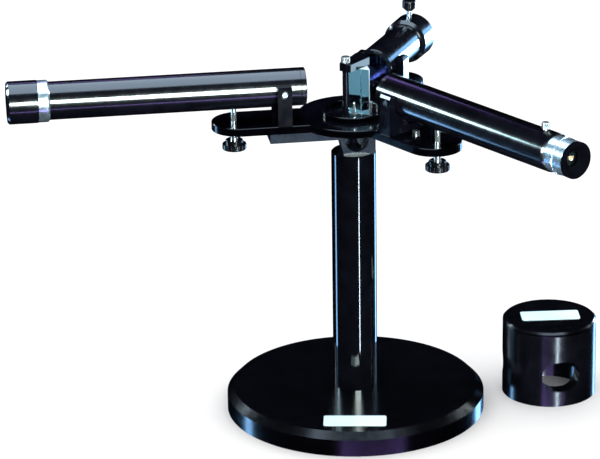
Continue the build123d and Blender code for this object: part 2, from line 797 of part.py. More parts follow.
    with BuildPart() as levelling_knob:
        with BuildSketch(spot(azimuth, plate_shift, levelling_along, knob_bottom)):
            Circle(knob_radius)
        extrude(amount=knob_rim_height)
        chamfer(levelling_knob.edges(), length=0.4)
        with BuildSketch(spot(azimuth, plate_shift, levelling_along, knob_bottom)):
            with PolarLocations(knob_radius + knob_scallop_radius - knob_scallop_bite, knob_scallops):
                Circle(knob_scallop_radius)
        extrude(amount=knob_rim_height, mode=Mode.SUBTRACT)
        with BuildSketch(spot(azimuth, plate_shift, levelling_along, knob_bottom + knob_rim_height)):
            Circle(knob_boss_radius)
        extrude(amount=knob_boss_height)
        chamfer(levelling_knob.edges().group_by(Axis.Z)[-1], length=0.4)
        with BuildSketch(spot(azimuth, plate_shift, levelling_along, rod_foot_z)):
            Circle(rod_radius + seat_gap)
        extrude(amount=knob_rim_height + knob_boss_height, mode=Mode.SUBTRACT)
    levelling_knob.part.label = name + "_levelling_knob"
    export_step(levelling_knob.part, "parts/" + name + "_levelling_knob.step")

    with BuildPart() as objective_ring:
        with BuildSketch(side_plane(azimuth, tube_shift)):
            with BuildLine():
                Polyline(
                    (objective_face, objective_opening),
                    (objective_face, tube_radius - ring_edge),
                    (objective_face + ring_edge, tube_radius),
                    (objective_joint, tube_radius),
                    (objective_joint, objective_neck_radius),
                    (objective_neck_end, objective_neck_radius),
                    (objective_neck_end, lens_radius + seat_gap),
                    (lens_seat, lens_radius + seat_gap),
                    (lens_seat, objective_opening),
                    close=True,
                )
            make_face()
        revolve(axis=tube_line(azimuth, tube_shift))
    objective_ring.part.label = name + "_objective_ring"
    export_step(objective_ring.part, "parts/" + name + "_objective_ring.step")

    lens_front = lens_seat + lens_rest
    lens_back = lens_front + lens_edge
    half_sag = sag(lens_radius / 2, lens_radius, lens_bulge)
    with BuildPart() as objective_lens:
        with BuildSketch(side_plane(azimuth, tube_shift)):
            with BuildLine():
                ThreePointArc(
                    (lens_front - lens_bulge, 0),
                    (lens_front - lens_bulge + half_sag, lens_radius / 2),
                    (lens_front, lens_radius),
                )
                Line((lens_front, lens_radius), (lens_back, lens_radius))
                ThreePointArc(
                    (lens_back, lens_radius),
                    (lens_back + lens_bulge - half_sag, lens_radius / 2),
                    (lens_back + lens_bulge, 0),
                )
                Line((lens_back + lens_bulge, 0), (lens_front - lens_bulge, 0))
            make_face()
        revolve(axis=tube_line(azimuth, tube_shift))
    objective_lens.part.label = name + "_objective_lens"
    export_step(objective_lens.part, "parts/" + name + "_objective_lens.step")

# Pivot screws and arm screws: one group on the stand, one on the swinging arm
with BuildPart() as fixed_pivots:
    add(pivot_sets["collimator"])
    add(pivot_sets["scale"])
fixed_pivots.part.label = "fixed_pivots"
export_step(fixed_pivots.part, "parts/fixed_pivots.step")

with BuildPart() as swing_pivots:
    add(pivot_sets["telescope"])
swing_pivots.part.label = "swing_pivots"
export_step(swing_pivots.part, "parts/swing_pivots.step")

with BuildPart() as fixed_arm_screws:
    add(screw_sets["collimator"])
    add(screw_sets["scale"])
fixed_arm_screws.part.label = "fixed_arm_screws"
export_step(fixed_arm_screws.part, "parts/fixed_arm_screws.step")

with BuildPart() as swing_arm_screws:
    add(screw_sets["telescope"])
swing_arm_screws.part.label = "swing_arm_screws"
export_step(swing_arm_screws.part, "parts/swing_arm_screws.step")

# Collimator tube
collimator_azimuth, collimator_plate_shift, collimator_shift = arms["collimator"]
with BuildPart() as collimator_tube:
    with BuildSketch(side_plane(collimator_azimuth, collimator_shift)):
        with BuildLine():
            Polyline(
                (tube_start, objective_neck_radius + seat_gap),
                (tube_start, tube_radius),
                (collimator_end, tube_radius),
                (collimator_end, tube_bore),
                (objective_neck_end + 0.3, tube_bore),
                (objective_neck_end + 0.3, objective_neck_radius + seat_gap),
                close=True,
            )
        make_face()
    revolve(axis=tube_line(collimator_azimuth, collimator_shift))
    for side in (1, -1):
        with BuildSketch(pivot_plane(collimator_azimuth, collimator_shift, side, tube_radius + 1)):
            Circle(pivot_tip_radius + running_gap)
        extrude(amount=-4, mode=Mode.SUBTRACT)
collimator_tube.part.label = "collimator_tube"
export_step(collimator_tube.part, "parts/collimator_tube.step")

# Slit draw tube: sleeve in the tube, bright collar and the neck for the cap
with BuildPart() as slit_draw_tube:
    with BuildSketch(side_plane(collimator_azimuth, collimator_shift)):
        with BuildLine():
            Polyline(
                (slit_sleeve_start, slit_bore),
                (slit_sleeve_start, tube_bore - running_gap),
                (collimator_end + collar_face_gap, tube_bore - running_gap),
                (collimator_end + collar_face_gap, collar_radius - collar_edge),
                (collimator_end + collar_face_gap + collar_edge, collar_radius),
                (collar_end, collar_radius),
                (collar_end, slit_neck_radius),
                (slit_neck_end, slit_neck_radius),
                (slit_neck_end, slit_bore),
                close=True,
            )
        make_face()
    revolve(axis=tube_line(collimator_azimuth, collimator_shift))
slit_draw_tube.part.label = "slit_draw_tube"
export_step(slit_draw_tube.part, "parts/slit_draw_tube.step")

# Slit plate with its rails and fixed jaw
jaw_start = slit_neck_end + slit_plate_thickness
with BuildPart() as slit_plate:
    with BuildSketch(cross_plane(collimator_azimuth, collimator_shift, slit_neck_end)):
        with Locations((0, tube_axis_z)):
            Circle(slit_neck_radius)
            Rectangle(slit_opening_width, slit_opening_height, mode=Mode.SUBTRACT)
    extrude(amount=slit_plate_thickness)
    with BuildSketch(cross_plane(collimator_azimuth, collimator_shift, jaw_start)):
        rail_centre = jaw_height / 2 + rail_clearance + rail_height / 2
        with Locations((0, tube_axis_z + rail_centre), (0, tube_axis_z - rail_centre)):
            Rectangle(2 * jaw_width, rail_height)
    extrude(amount=rail_thickness)
    with BuildSketch(cross_plane(collimator_azimuth, collimator_shift, jaw_start)):
        with Locations((-jaw_gap - jaw_width / 2, tube_axis_z)):
            Rectangle(jaw_width, jaw_height)
    extrude(amount=jaw_thickness)
slit_plate.part.label = "slit_plate"
export_step(slit_plate.part, "parts/slit_plate.step")

# Moving jaw of the slit
with BuildPart() as slit_jaw:
    with BuildSketch(cross_plane(collimator_azimuth, collimator_shift, jaw_start + thrust_gap)):
        with Locations((jaw_gap + jaw_width / 2, tube_axis_z)):
            Rectangle(jaw_width, jaw_height)
    extrude(amount=jaw_thickness)
slit_jaw.part.label = "slit_jaw"
export_step(slit_jaw.part, "parts/slit_jaw.step")

# Slit cap: turned black cap that opens and closes the slit
with BuildPart() as slit_cap:
    with BuildSketch(side_plane(collimator_azimuth, collimator_shift)):
        with BuildLine():
            Polyline(
                (slit_cap_start, slit_neck_radius + running_gap),
                (slit_cap_start, slit_cap_radius - 0.4),
                (slit_cap_start + 0.4, slit_cap_radius),
                (slit_cap_end - slit_cap_bevel, slit_cap_radius),
                (slit_cap_end, slit_cap_radius - slit_cap_bevel),
                (slit_cap_end, slit_window_radius),
                (slit_cap_end - slit_cap_wall + slit_glass_thickness, slit_window_radius),
                (slit_cap_end - slit_cap_wall + slit_glass_thickness, slit_glass_radius + seat_gap),
                (slit_cap_end - slit_cap_wall, slit_glass_radius + seat_gap),
                (slit_cap_end - slit_cap_wall, slit_cap_chamber),
                (slit_cap_lip, slit_cap_chamber),
                (slit_cap_lip, slit_neck_radius + running_gap),
                close=True,
            )
        make_face()
    revolve(axis=tube_line(collimator_azimuth, collimator_shift))
slit_cap.part.label = "slit_cap"
export_step(slit_cap.part, "parts/slit_cap.step")

# Cover glass in front of the slit
with BuildPart() as slit_glass:
    with BuildSketch(cross_plane(collimator_azimuth, collimator_shift, slit_cap_end - slit_cap_wall)):
        with Locations((0, tube_axis_z)):
            Circle(slit_glass_radius)
    extrude(amount=slit_glass_thickness)
slit_glass.part.label = "slit_glass"
export_step(slit_glass.part, "parts/slit_glass.step")

# Telescope tube, widened inside for the draw tube
with BuildPart() as telescope_tube:
    with BuildSketch(side_plane(telescope_azimuth, telescope_shift)):
        with BuildLine():
            Polyline(
                (tube_start, objective_neck_radius + seat_gap),
                (tube_start, tube_radius),
                (telescope_end - telescope_tip, tube_radius),
                (telescope_end, tube_radius - telescope_tip),
                (telescope_end, draw_radius + running_gap),
                (draw_guide_start, draw_radius + running_gap),
                (draw_guide_start, tube_bore),
                (objective_neck_end + 0.3, tube_bore),
                (objective_neck_end + 0.3, objective_neck_radius + seat_gap),
                close=True,
            )
        make_face()
    revolve(axis=tube_line(telescope_azimuth, telescope_shift))
    for side in (1, -1):
        with BuildSketch(pivot_plane(telescope_azimuth, telescope_shift, side, tube_radius + 1)):
            Circle(pivot_tip_radius + running_gap)
        extrude(amount=-4, mode=Mode.SUBTRACT)
    with BuildSketch(spot(telescope_azimuth, telescope_shift, lock_along, tube_axis_z)):
        Circle(lock_shank_radius + running_gap)
    extrude(amount=tube_radius + 2, mode=Mode.SUBTRACT)
telescope_tube.part.label = "telescope_tube"
export_step(telescope_tube.part, "parts/telescope_tube.step")

# Focus draw tube: bright tube with a knurled ridge
with BuildPart() as focus_draw_tube:
    with BuildSketch(side_plane(telescope_azimuth, telescope_shift)):
        with BuildLine():
            Polyline(
                (draw_start, field_lens_radius + seat_gap),
                (draw_start, draw_radius),
                (ridge_start, draw_radius),
                (ridge_start, ridge_radius),
                (ridge_end, ridge_radius),
                (ridge_end, draw_radius - 0.3),
                (head_start, draw_radius - 0.3),
                (head_start, head_radius),
                (head_end, head_radius),
                (head_end, draw_bore),
                (field_lens_seat, draw_bore),
                (field_lens_seat, field_lens_radius + seat_gap),
                close=True,
            )
        make_face()
    revolve(axis=tube_line(telescope_azimuth, telescope_shift))
focus_draw_tube.part.label = "focus_draw_tube"
export_step(focus_draw_tube.part, "parts/focus_draw_tube.step")

# Reticle ring between the lenses
with BuildPart() as reticle_ring:
    with BuildSketch(cross_plane(telescope_azimuth, telescope_shift, reticle_start)):
        with Locations((0, tube_axis_z)):
            Circle(draw_bore - seat_gap)
            Circle(reticle_opening, mode=Mode.SUBTRACT)
    extrude(amount=reticle_thickness)
reticle_ring.part.label = "reticle_ring"
export_step(reticle_ring.part, "parts/reticle_ring.step")

# Eyecup with a dished face
with BuildPart() as eyecup:
    with BuildSketch(side_plane(telescope_azimuth, telescope_shift)):
        with BuildLine():
            Polyline(
                (eyecup_spigot_start, eye_lens_radius + seat_gap),
                (eyecup_spigot_start, draw_bore - seat_gap),
                (head_end, draw_bore - seat_gap),
                (head_end, eyecup_radius),
                (eyecup_end - 0.5, eyecup_radius),
                (eyecup_end, eyecup_radius - 0.5),
                (eyecup_end, eyecup_radius - 2.0),
                (eye_seat + 1.6, eye_opening),
                (eye_seat, eye_opening),
                (eye_seat, eye_lens_radius + seat_gap),
                close=True,
            )
        make_face()
    revolve(axis=tube_line(telescope_azimuth, telescope_shift))
eyecup.part.label = "eyecup"
export_step(eyecup.part, "parts/eyecup.step")

# Field lens and eye lens
with BuildPart() as eyepiece_lenses:
    with BuildSketch(side_plane(telescope_azimuth, telescope_shift)):
        with BuildLine():
            Line((field_lens_seat, 0), (field_lens_seat, field_lens_radius))
            Line((field_lens_seat, field_lens_radius), (field_lens_seat - 2, field_lens_radius))
            ThreePointArc(
                (field_lens_seat - 2, field_lens_radius),
                (
                    field_lens_seat - 4 + sag(field_lens_radius / 2, field_lens_radius, 2),
                    field_lens_radius / 2,
                ),
                (field_lens_seat - 4, 0),
            )
            Line((field_lens_seat - 4, 0), (field_lens_seat, 0))
        make_face()
    revolve(axis=tube_line(telescope_azimuth, telescope_shift))
    with BuildSketch(side_plane(telescope_azimuth, telescope_shift)):
        with BuildLine():
            Line((eye_seat - 2.4, 0), (eye_seat - 2.4, eye_lens_radius))
            Line((eye_seat - 2.4, eye_lens_radius), (eye_seat, eye_lens_radius))
            Line((eye_seat, eye_lens_radius), (eye_seat, eye_opening - 0.2))
            ThreePointArc(
                (eye_seat, eye_opening - 0.2),
                (eye_seat + 1.4 - sag(eye_opening / 2, eye_opening - 0.2, 1.4), eye_opening / 2),
                (eye_seat + 1.4, 0),
            )
            Line((eye_seat + 1.4, 0), (eye_seat - 2.4, 0))
        make_face()
    revolve(axis=tube_line(telescope_azimuth, telescope_shift))
eyepiece_lenses.part.label = "eyepiece_lenses"
export_step(eyepiece_lenses.part, "parts/eyepiece_lenses.step")

# Lock screw on top of the telescope tube
lock_head_base = tube_axis_z + tube_radius + lock_head_gap
with BuildPart() as lock_screw:
    with BuildSketch(spot(telescope_azimuth, telescope_shift, lock_along, tube_axis_z + draw_radius + 0.1)):
        Circle(lock_shank_radius)
    extrude(amount=lock_head_base - tube_axis_z - draw_radius - 0.1)
    with BuildSketch(spot(telescope_azimuth, telescope_shift, lock_along, lock_head_base)):
        Circle(lock_head_radius)
    extrude(amount=lock_head_height)
    chamfer(lock_screw.edges().group_by(Axis.Z)[-1], length=0.5)
lock_screw.part.label = "lock_screw"
export_step(lock_screw.part, "parts/lock_screw.step")

# Scale tube
scale_azimuth, scale_plate_shift, scale_shift = arms["scale"]
with BuildPart() as scale_tube:
    with BuildSketch(side_plane(scale_azimuth, scale_shift)):
        with BuildLine():
            Polyline(
                (tube_start, objective_neck_radius + seat_gap),
                (tube_start, tube_radius),
                (scale_tube_end, tube_radius),
                (scale_tube_end, tube_bore),
                (objective_neck_end + 0.3, tube_bore),
                (objective_neck_end + 0.3, objective_neck_radius + seat_gap),
                close=True,
            )
        make_face()
    revolve(axis=tube_line(scale_azimuth, scale_shift))
    for side in (1, -1):
        with BuildSketch(pivot_plane(scale_azimuth, scale_shift, side, tube_radius + 1)):
            Circle(pivot_tip_radius + running_gap)
        extrude(amount=-4, mode=Mode.SUBTRACT)
scale_tube.part.label = "scale_tube"
export_step(scale_tube.part, "parts/scale_tube.step")

# Scale cap sliding on the scale tube
with BuildPart() as scale_cap:
    with BuildSketch(side_plane(scale_azimuth, scale_shift)):
        with BuildLine():
            Polyline(
                (scale_cap_start, tube_radius + running_gap),
                (scale_cap_start, scale_cap_lip_radius),
                (scale_cap_start + scale_cap_shoulder, scale_cap_radius - 0.2),
                (scale_cap_end - scale_cap_edge, scale_cap_radius),
                (scale_cap_end, scale_cap_radius - scale_cap_edge),
                (scale_cap_end, scale_cap_window),
                (scale_glass_end, scale_cap_window),
                (scale_glass_end, scale_glass_radius + seat_gap),
                (scale_glass_start - 0.1, scale_glass_radius + seat_gap),
                (scale_glass_start - 0.1, tube_radius + running_gap),
                close=True,
            )
        make_face()
    revolve(axis=tube_line(scale_azimuth, scale_shift))
    with BuildSketch(spot(scale_azimuth, scale_shift, scale_screw_along, tube_axis_z)):
        Circle(scale_stem_radius + running_gap)
    extrude(amount=scale_cap_radius + 2, mode=Mode.SUBTRACT)
scale_cap.part.label = "scale_cap"
export_step(scale_cap.part, "parts/scale_cap.step")

# Glass that carries the scale
with BuildPart() as scale_glass:
    with BuildSketch(cross_plane(scale_azimuth, scale_shift, scale_glass_start)):
        with Locations((0, tube_axis_z)):
            Circle(scale_glass_radius)
    extrude(amount=scale_glass_end - scale_glass_start)
scale_glass.part.label = "scale_glass"
export_step(scale_glass.part, "parts/scale_glass.step")

# Scale screw: bright stem with a black mushroom knob
with BuildPart() as scale_screw:
    with BuildSketch(spot(scale_azimuth, scale_shift, scale_screw_along, tube_axis_z + tube_radius + 0.1)):
        Circle(scale_stem_radius)
    extrude(amount=scale_knob_base + 3 - tube_axis_z - tube_radius - 0.1)
scale_screw.part.label = "scale_screw"
export_step(scale_screw.part, "parts/scale_screw.step")

# Knob of the scale screw
with BuildPart() as scale_knob:
    with BuildSketch(spot(scale_azimuth, scale_shift, scale_screw_along, scale_knob_base)):
        Circle(scale_stem_radius + 0.8)
    with BuildSketch(spot(scale_azimuth, scale_shift, scale_screw_along, scale_knob_flare)):
        Circle(scale_knob_radius)
    loft()
    with BuildSketch(spot(scale_azimuth, scale_shift, scale_screw_along, scale_knob_flare)):
        Circle(scale_knob_radius)
    extrude(amount=scale_knob_top - scale_knob_flare)
    fillet(scale_knob.edges().group_by(Axis.Z)[-1], radius=scale_knob_edge)
    with BuildSketch(spot(scale_azimuth, scale_shift, scale_screw_along, scale_knob_base)):
        Circle(scale_stem_radius + seat_gap)
    extrude(amount=3, mode=Mode.SUBTRACT)
scale_knob.part.label = "scale_knob"
export_step(scale_knob.part, "parts/scale_knob.step")

# Platform ring around the prism
with BuildPart() as prism_platform:
    with BuildSketch(Plane.XY.offset(plate_top - platform_sink)):
        Circle(platform_radius)
        Circle(platform_bore, mode=Mode.SUBTRACT)
    extrude(amount=platform_top - plate_top + platform_sink)
    chamfer(prism_platform.edges().group_by(Axis.Z)[-1], length=0.5)
prism_platform.part.label = "prism_platform"
export_step(prism_platform.part, "parts/prism_platform.step")

# Prism with ground edges
with BuildPart() as prism:
    with BuildSketch(Plane.XY.offset(plate_top)):
        with Locations(Location((prism_x, prism_y, 0), (0, 0, prism_turn))):
            RegularPolygon(prism_side / sqrt(3), 3)
    extrude(amount=prism_height)
    chamfer(prism.edges().filter_by(Axis.Z), length=prism_edge)
prism.part.label = "prism"
export_step(prism.part, "parts/prism.step")

# Two stop pins in front of the prism
with BuildPart() as prism_pins:
    with BuildSketch(Plane.XY.offset(plate_top - pin_sink)):
        with Locations(*pin_places):
            Circle(pin_radius)
    extrude(amount=pin_top - plate_top + pin_sink)
    fillet(prism_pins.edges().group_by(Axis.Z)[-1], radius=0.4)
prism_pins.part.label = "prism_pins"
export_step(prism_pins.part, "parts/prism_pins.step")

# Post of the prism clamp
with BuildPart() as clamp_post:
    with BuildSketch(Plane.XY.offset(plate_top - post_sink)):
        with Locations((post_x, post_y)):
            Circle(post_sink_radius)
    extrude(amount=post_sink)
    with BuildSketch(Plane.XY.offset(plate_top)):
        with Locations((post_x, post_y)):
            Circle(post_radius)
    extrude(amount=clamp_bottom - plate_top)
    with BuildSketch(Plane.XY.offset(clamp_bottom)):
        with Locations((post_x, post_y)):
            Circle(clamp_screw_radius + running_gap)
    extrude(amount=clamp_screw_tip - clamp_bottom - 1, mode=Mode.SUBTRACT)
clamp_post.part.label = "clamp_post"
export_step(clamp_post.part, "parts/clamp_post.step")

# Clamp bar lying over the prism
with BuildPart() as clamp_bar:
    with BuildSketch(Plane.XY.offset(clamp_bottom)):
        with BuildLine():
            Polyline(*clamp_outline, close=True)
        make_face()
    extrude(amount=clamp_top - clamp_bottom)
    chamfer(clamp_bar.edges().group_by(Axis.Z)[-1], length=0.3)
    with BuildSketch(Plane.XY.offset(clamp_bottom)):
        with Locations((post_x, post_y)):
            Circle(clamp_screw_radius + running_gap)
    extrude(amount=clamp_top - clamp_bottom, mode=Mode.SUBTRACT)
clamp_bar.part.label = "clamp_bar"
export_step(clamp_bar.part, "parts/clamp_bar.step")

# Soft pad between clamp bar and prism
with BuildPart() as clamp_pad:
    with BuildSketch(Plane.XY.offset(plate_top + prism_height)):
        with Locations((prism_x, prism_y)):
            Circle(clamp_pad_radius)
    extrude(amount=clamp_bottom - plate_top - prism_height)
clamp_pad.part.label = "clamp_pad"
export_step(clamp_pad.part, "parts/clamp_pad.step")

# Thumb screw that draws the clamp bar down
clamp_head_base = clamp_top + clamp_head_gap
with BuildPart() as clamp_screw:
    with BuildSketch(Plane.XY.offset(clamp_screw_tip)):
        with Locations((post_x, post_y)):
            Circle(clamp_screw_radius)
    extrude(amount=clamp_head_base - clamp_screw_tip)
    with BuildSketch(Plane.XY.offset(clamp_head_base)):
        with Locations((post_x, post_y)):
            Circle(clamp_screw_head)
    extrude(amount=clamp_head_height)
    chamfer(clamp_screw.edges().group_by(Axis.Z)[-1], length=0.5)
clamp_screw.part.label = "clamp_screw"
export_step(clamp_screw.part, "parts/clamp_screw.step")

# Cover body: thick turned shell with three ports for the light
cover_joint_z = cover_height - cover_lid_thickness
with BuildPart() as cover_body:
    with BuildSketch():
        with Locations((cover_x, cover_y)):
            Circle(cover_radius)
    extrude(amount=cover_joint_z)
    chamfer(cover_body.edges().group_by(Axis.Z)[-1], length=cover_joint_edge)
    with BuildSketch():
        with Locations((cover_x, cover_y)):
            Circle(cover_cavity_radius)
    extrude(amount=cover_joint_z, mode=Mode.SUBTRACT)
    for azimuth in port_azimuths:
        port_plane = Plane(
            origin=(cover_x, cover_y, port_centre_z),
            x_dir=sideways(azimuth),
            z_dir=outward(azimuth),
        )
        with BuildSketch(port_plane):
            SlotCenterToCenter(2 * port_shift, 2 * port_half_height)
        extrude(amount=cover_radius + 5, mode=Mode.SUBTRACT)
cover_body.part.label = "cover_body"
export_step(cover_body.part, "parts/cover_body.step")

# Cover lid pressed into the body
with BuildPart() as cover_lid:
    with BuildSketch(Plane.XY.offset(cover_joint_z)):
        with Locations((cover_x, cover_y)):
            Circle(cover_radius)
    extrude(amount=cover_lid_thickness)
    chamfer(cover_lid.edges().group_by(Axis.Z)[-1], length=cover_bevel)
    with BuildSketch(Plane.XY.offset(cover_joint_z)):
        with Locations((cover_x, cover_y)):
            Circle(cover_cavity_radius - seat_gap)
    extrude(amount=-cover_plug_depth)
cover_lid.part.label = "cover_lid"
export_step(cover_lid.part, "parts/cover_lid.step")

# Bare label plate on the cover
with BuildPart() as cover_label_plate:
    with BuildSketch(Plane.XY.offset(cover_height)):
        with Locations(Location((cover_label_x, cover_label_y, 0), (0, 0, cover_label_turn))):
            RectangleRounded(cover_label_width, cover_label_depth, label_corner)
    extrude(amount=label_thickness)
cover_label_plate.part.label = "cover_label_plate"
export_step(cover_label_plate.part, "parts/cover_label_plate.step")
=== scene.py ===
"""Looks of the table spectroscope: materials, fine detail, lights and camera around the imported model."""

import json
from math import cos, pi, radians, sin

import bmesh
import bpy
import numpy as np
from mathutils import Matrix, Vector


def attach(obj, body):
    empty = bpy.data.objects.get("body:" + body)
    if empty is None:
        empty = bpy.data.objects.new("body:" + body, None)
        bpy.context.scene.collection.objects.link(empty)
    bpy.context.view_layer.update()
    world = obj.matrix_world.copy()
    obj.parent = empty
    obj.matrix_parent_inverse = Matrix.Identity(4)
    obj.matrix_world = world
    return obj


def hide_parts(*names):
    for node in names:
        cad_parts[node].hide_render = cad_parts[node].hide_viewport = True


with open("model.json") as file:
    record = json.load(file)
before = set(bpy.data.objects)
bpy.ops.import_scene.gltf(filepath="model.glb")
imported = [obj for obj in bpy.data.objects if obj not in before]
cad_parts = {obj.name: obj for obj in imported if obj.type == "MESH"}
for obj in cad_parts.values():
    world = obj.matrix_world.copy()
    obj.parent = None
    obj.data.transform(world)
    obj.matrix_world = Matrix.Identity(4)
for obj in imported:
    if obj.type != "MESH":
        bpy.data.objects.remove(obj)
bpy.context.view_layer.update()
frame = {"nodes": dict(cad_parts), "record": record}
scene = bpy.context.scene
nodes = frame["nodes"]
MM = 0.001

# Azimuth of each tube and the sideways shift of its axis, in degrees and millimetres
TUBES = {"collimator": (187.9, 3.1), "scale": (68.1, -2.7), "telescope": (308.9, 4.6)}
TUBE_AXIS_Z = 265.15
TABLE_TOP = 240.5
PRISM_TOP = 276.5


# Materials


def new_material(name):
    """Empty node material and its Principled shader."""
    mat = bpy.data.materials.new(name)
    mat.use_nodes = True
    shader = mat.node_tree.nodes["Principled BSDF"]
    return mat, mat.node_tree, shader


def noise(tree, scale, detail=4.0, stretch=(1, 1, 1)):
    """Noise over object coordinates, stretched along the axes."""
    coords = tree.nodes.new("ShaderNodeTexCoord")
    mapping = tree.nodes.new("ShaderNodeMapping")
    mapping.inputs["Scale"].default_value = stretch
    texture = tree.nodes.new("ShaderNodeTexNoise")
    texture.inputs["Scale"].default_value = scale
    texture.inputs["Detail"].default_value = detail
    tree.links.new(coords.outputs["Object"], mapping.inputs["Vector"])
    tree.links.new(mapping.outputs["Vector"], texture.inputs["Vector"])
    return texture.outputs["Fac"]


def spread(tree, value, low, high):
    """Maps the middle of a noise to a range."""
    node = tree.nodes.new("ShaderNodeMapRange")
    node.inputs["From Min"].default_value = 0.3
    node.inputs["From Max"].default_value = 0.7
    node.inputs["To Min"].default_value = low
    node.inputs["To Max"].default_value = high
    tree.links.new(value, node.inputs["Value"])
    return node.outputs["Result"]


def tint(tree, value, low, high):
    """Colour between two ends by a noise."""
    ramp = tree.nodes.new("ShaderNodeValToRGB")
    ramp.color_ramp.elements[0].position = 0.35
    ramp.color_ramp.elements[1].position = 0.65
    ramp.color_ramp.elements[0].color = (*low, 1)
    ramp.color_ramp.elements[1].color = (*high, 1)
    tree.links.new(value, ramp.inputs["Fac"])
    return ramp.outputs["Color"]


def surface(name, low, high, rough, metallic=0.0, specular=0.5, scale=60.0, grain=900.0, bump=0.02, stretch=(1, 1, 1),
            coat=0.0):
    """Opaque material with a drifting colour, a drifting roughness and a fine grain."""
    mat, tree, shader = new_material(name)
    shader.inputs["Metallic"].default_value = metallic
    shader.inputs["Specular IOR Level"].default_value = specular
    shader.inputs["Coat Weight"].default_value = coat
    shader.inputs["Coat Roughness"].default_value = 0.06
    broad = noise(tree, scale, 4.0, stretch)
    tree.links.new(tint(tree, broad, low, high), shader.inputs["Base Color"])
    mottle = noise(tree, scale * 2.3, 3.0, stretch)
    tree.links.new(spread(tree, mottle, rough[0], rough[1]), shader.inputs["Roughness"])
    grains = noise(tree, grain, 2.0, stretch)
    node = tree.nodes.new("ShaderNodeBump")
    node.inputs["Strength"].default_value = bump
    node.inputs["Distance"].default_value = 0.0004
    tree.links.new(grains, node.inputs["Height"])
    tree.links.new(node.outputs["Normal"], shader.inputs["Normal"])
    return mat


def clear(name, low, high, rough=(0.0, 0.01), ior=1.6, coat=0.0):
    """Clear glass with a slight tint."""
    mat, tree, shader = new_material(name)
    shader.inputs["Metallic"].default_value = 0.0
    shader.inputs["Transmission Weight"].default_value = 1.0
    shader.inputs["IOR"].default_value = ior
    shader.inputs["Coat Weight"].default_value = coat
    broad = noise(tree, 25.0, 2.0)
    tree.links.new(tint(tree, broad, low, high), shader.inputs["Base Color"])
    tree.links.new(spread(tree, broad, rough[0], rough[1]), shader.inputs["Roughness"])
    return mat


gloss_black = surface("gloss_black", (0.0006, 0.0006, 0.001), (0.0012, 0.0012, 0.002), (0.05, 0.08), specular=0.55,
                      bump=0.02, grain=1400.0)
tube_black = surface("tube_black", (0.0008, 0.0008, 0.0015), (0.0016, 0.0016, 0.003), (0.14, 0.19), specular=0.7,
                     bump=0.02)
plate_black = surface("plate_black", (0.0006, 0.0006, 0.0012), (0.0012, 0.0012, 0.0025), (0.14, 0.20), specular=0.25,
                      bump=0.03)
# painted light: a lighter, bluer copy of the black anodised finish, standing for the blue light on the hub block's
# front face
painted_blue_lit_black = surface("painted_blue_lit_black", (0.003, 0.005, 0.010), (0.005, 0.008, 0.016), (0.24, 0.32), specular=0.35, bump=0.04)
knob_black = surface("knob_black", (0.001, 0.001, 0.0015), (0.002, 0.002, 0.003), (0.16, 0.24), specular=0.35,
                     bump=0.08, grain=1800.0)
satin_black = surface("satin_black", (0.0006, 0.0006, 0.001), (0.0012, 0.0012, 0.002), (0.16, 0.22), specular=0.5,
                      bump=0.04, grain=1400.0)
matt_black = surface("matt_black", (0.0006, 0.0006, 0.001), (0.0012, 0.0012, 0.002), (0.35, 0.45), specular=0.0,
                     bump=0.05)
bright = surface("bright_metal", (0.50, 0.60, 0.68), (0.66, 0.76, 0.84), (0.20, 0.30), metallic=0.96, bump=0.02,
                 scale=90.0)
chrome = surface("chrome", (0.70, 0.72, 0.75), (0.86, 0.88, 0.90), (0.10, 0.18), metallic=0.95, bump=0.01)
steel = surface("steel", (0.42, 0.44, 0.47), (0.60, 0.62, 0.65), (0.20, 0.32), metallic=1.0, bump=0.03)
brass = surface("brass", (0.55, 0.40, 0.16), (0.70, 0.54, 0.24), (0.22, 0.32), metallic=1.0)
rubber = surface("rubber", (0.015, 0.015, 0.017), (0.025, 0.025, 0.028), (0.7, 0.85), specular=0.3, bump=0.1)
label = surface("label", (0.26, 0.32, 0.34), (0.32, 0.37, 0.39), (0.30, 0.42), bump=0.01, scale=18.0)
frosted = surface("frosted", (0.34, 0.44, 0.50), (0.46, 0.54, 0.58), (0.6, 0.75), bump=0.05, grain=2400.0)
prism_glass = clear("prism_glass", (0.66, 0.88, 0.95), (0.76, 0.95, 1.0), ior=1.65)
lens_glass = clear("lens_glass", (0.50, 0.50, 0.92), (0.58, 0.58, 0.98), ior=1.52, coat=0.3)
# painted highlight: the cream tint of the eyepiece glass stands for the cream glints of light on the lens
eye_glass_painted_glint = clear("eye_glass_painted_glint", (0.86, 0.80, 0.66), (0.94, 0.88, 0.74), ior=1.52, coat=0.3)

BY_SLOT = {
    "gloss_black": gloss_black,
    "black_anodised": plate_black,
    "black_plastic": knob_black,
    "bright_metal": bright,
    "chrome": chrome,
    "steel": steel,
    "brass": brass,
    "rubber": rubber,
    "glass": lens_glass,
    "label": label,
}
BY_NODE = {
    "hub_block": painted_blue_lit_black,
    "spindle": gloss_black,
    "collimator_tube": tube_black,
    "telescope_tube": tube_black,
    "scale_tube": tube_black,
    "collimator_objective_ring": tube_black,
    "telescope_objective_ring": tube_black,
    "scale_objective_ring": tube_black,
    "slit_cap": tube_black,
    "scale_cap": tube_black,
    "eyepiece_lenses": eye_glass_painted_glint,
    "slit_plate": matt_black,
    "reticle_ring": matt_black,
    "eyecup": matt_black,
    "base_plate": satin_black,
    "cover_body": satin_black,
    "cover_lid": satin_black,
    "scale_knob": knob_black,
}


def dress(obj, mat):
    """Puts one material on an object."""
    obj.data.materials.clear()
    obj.data.materials.append(mat)


for entry in frame["record"]["subparts"]:
    dress(nodes[entry["node"]], BY_NODE.get(entry["node"], BY_SLOT[entry["material_slot"]]))


# New pieces


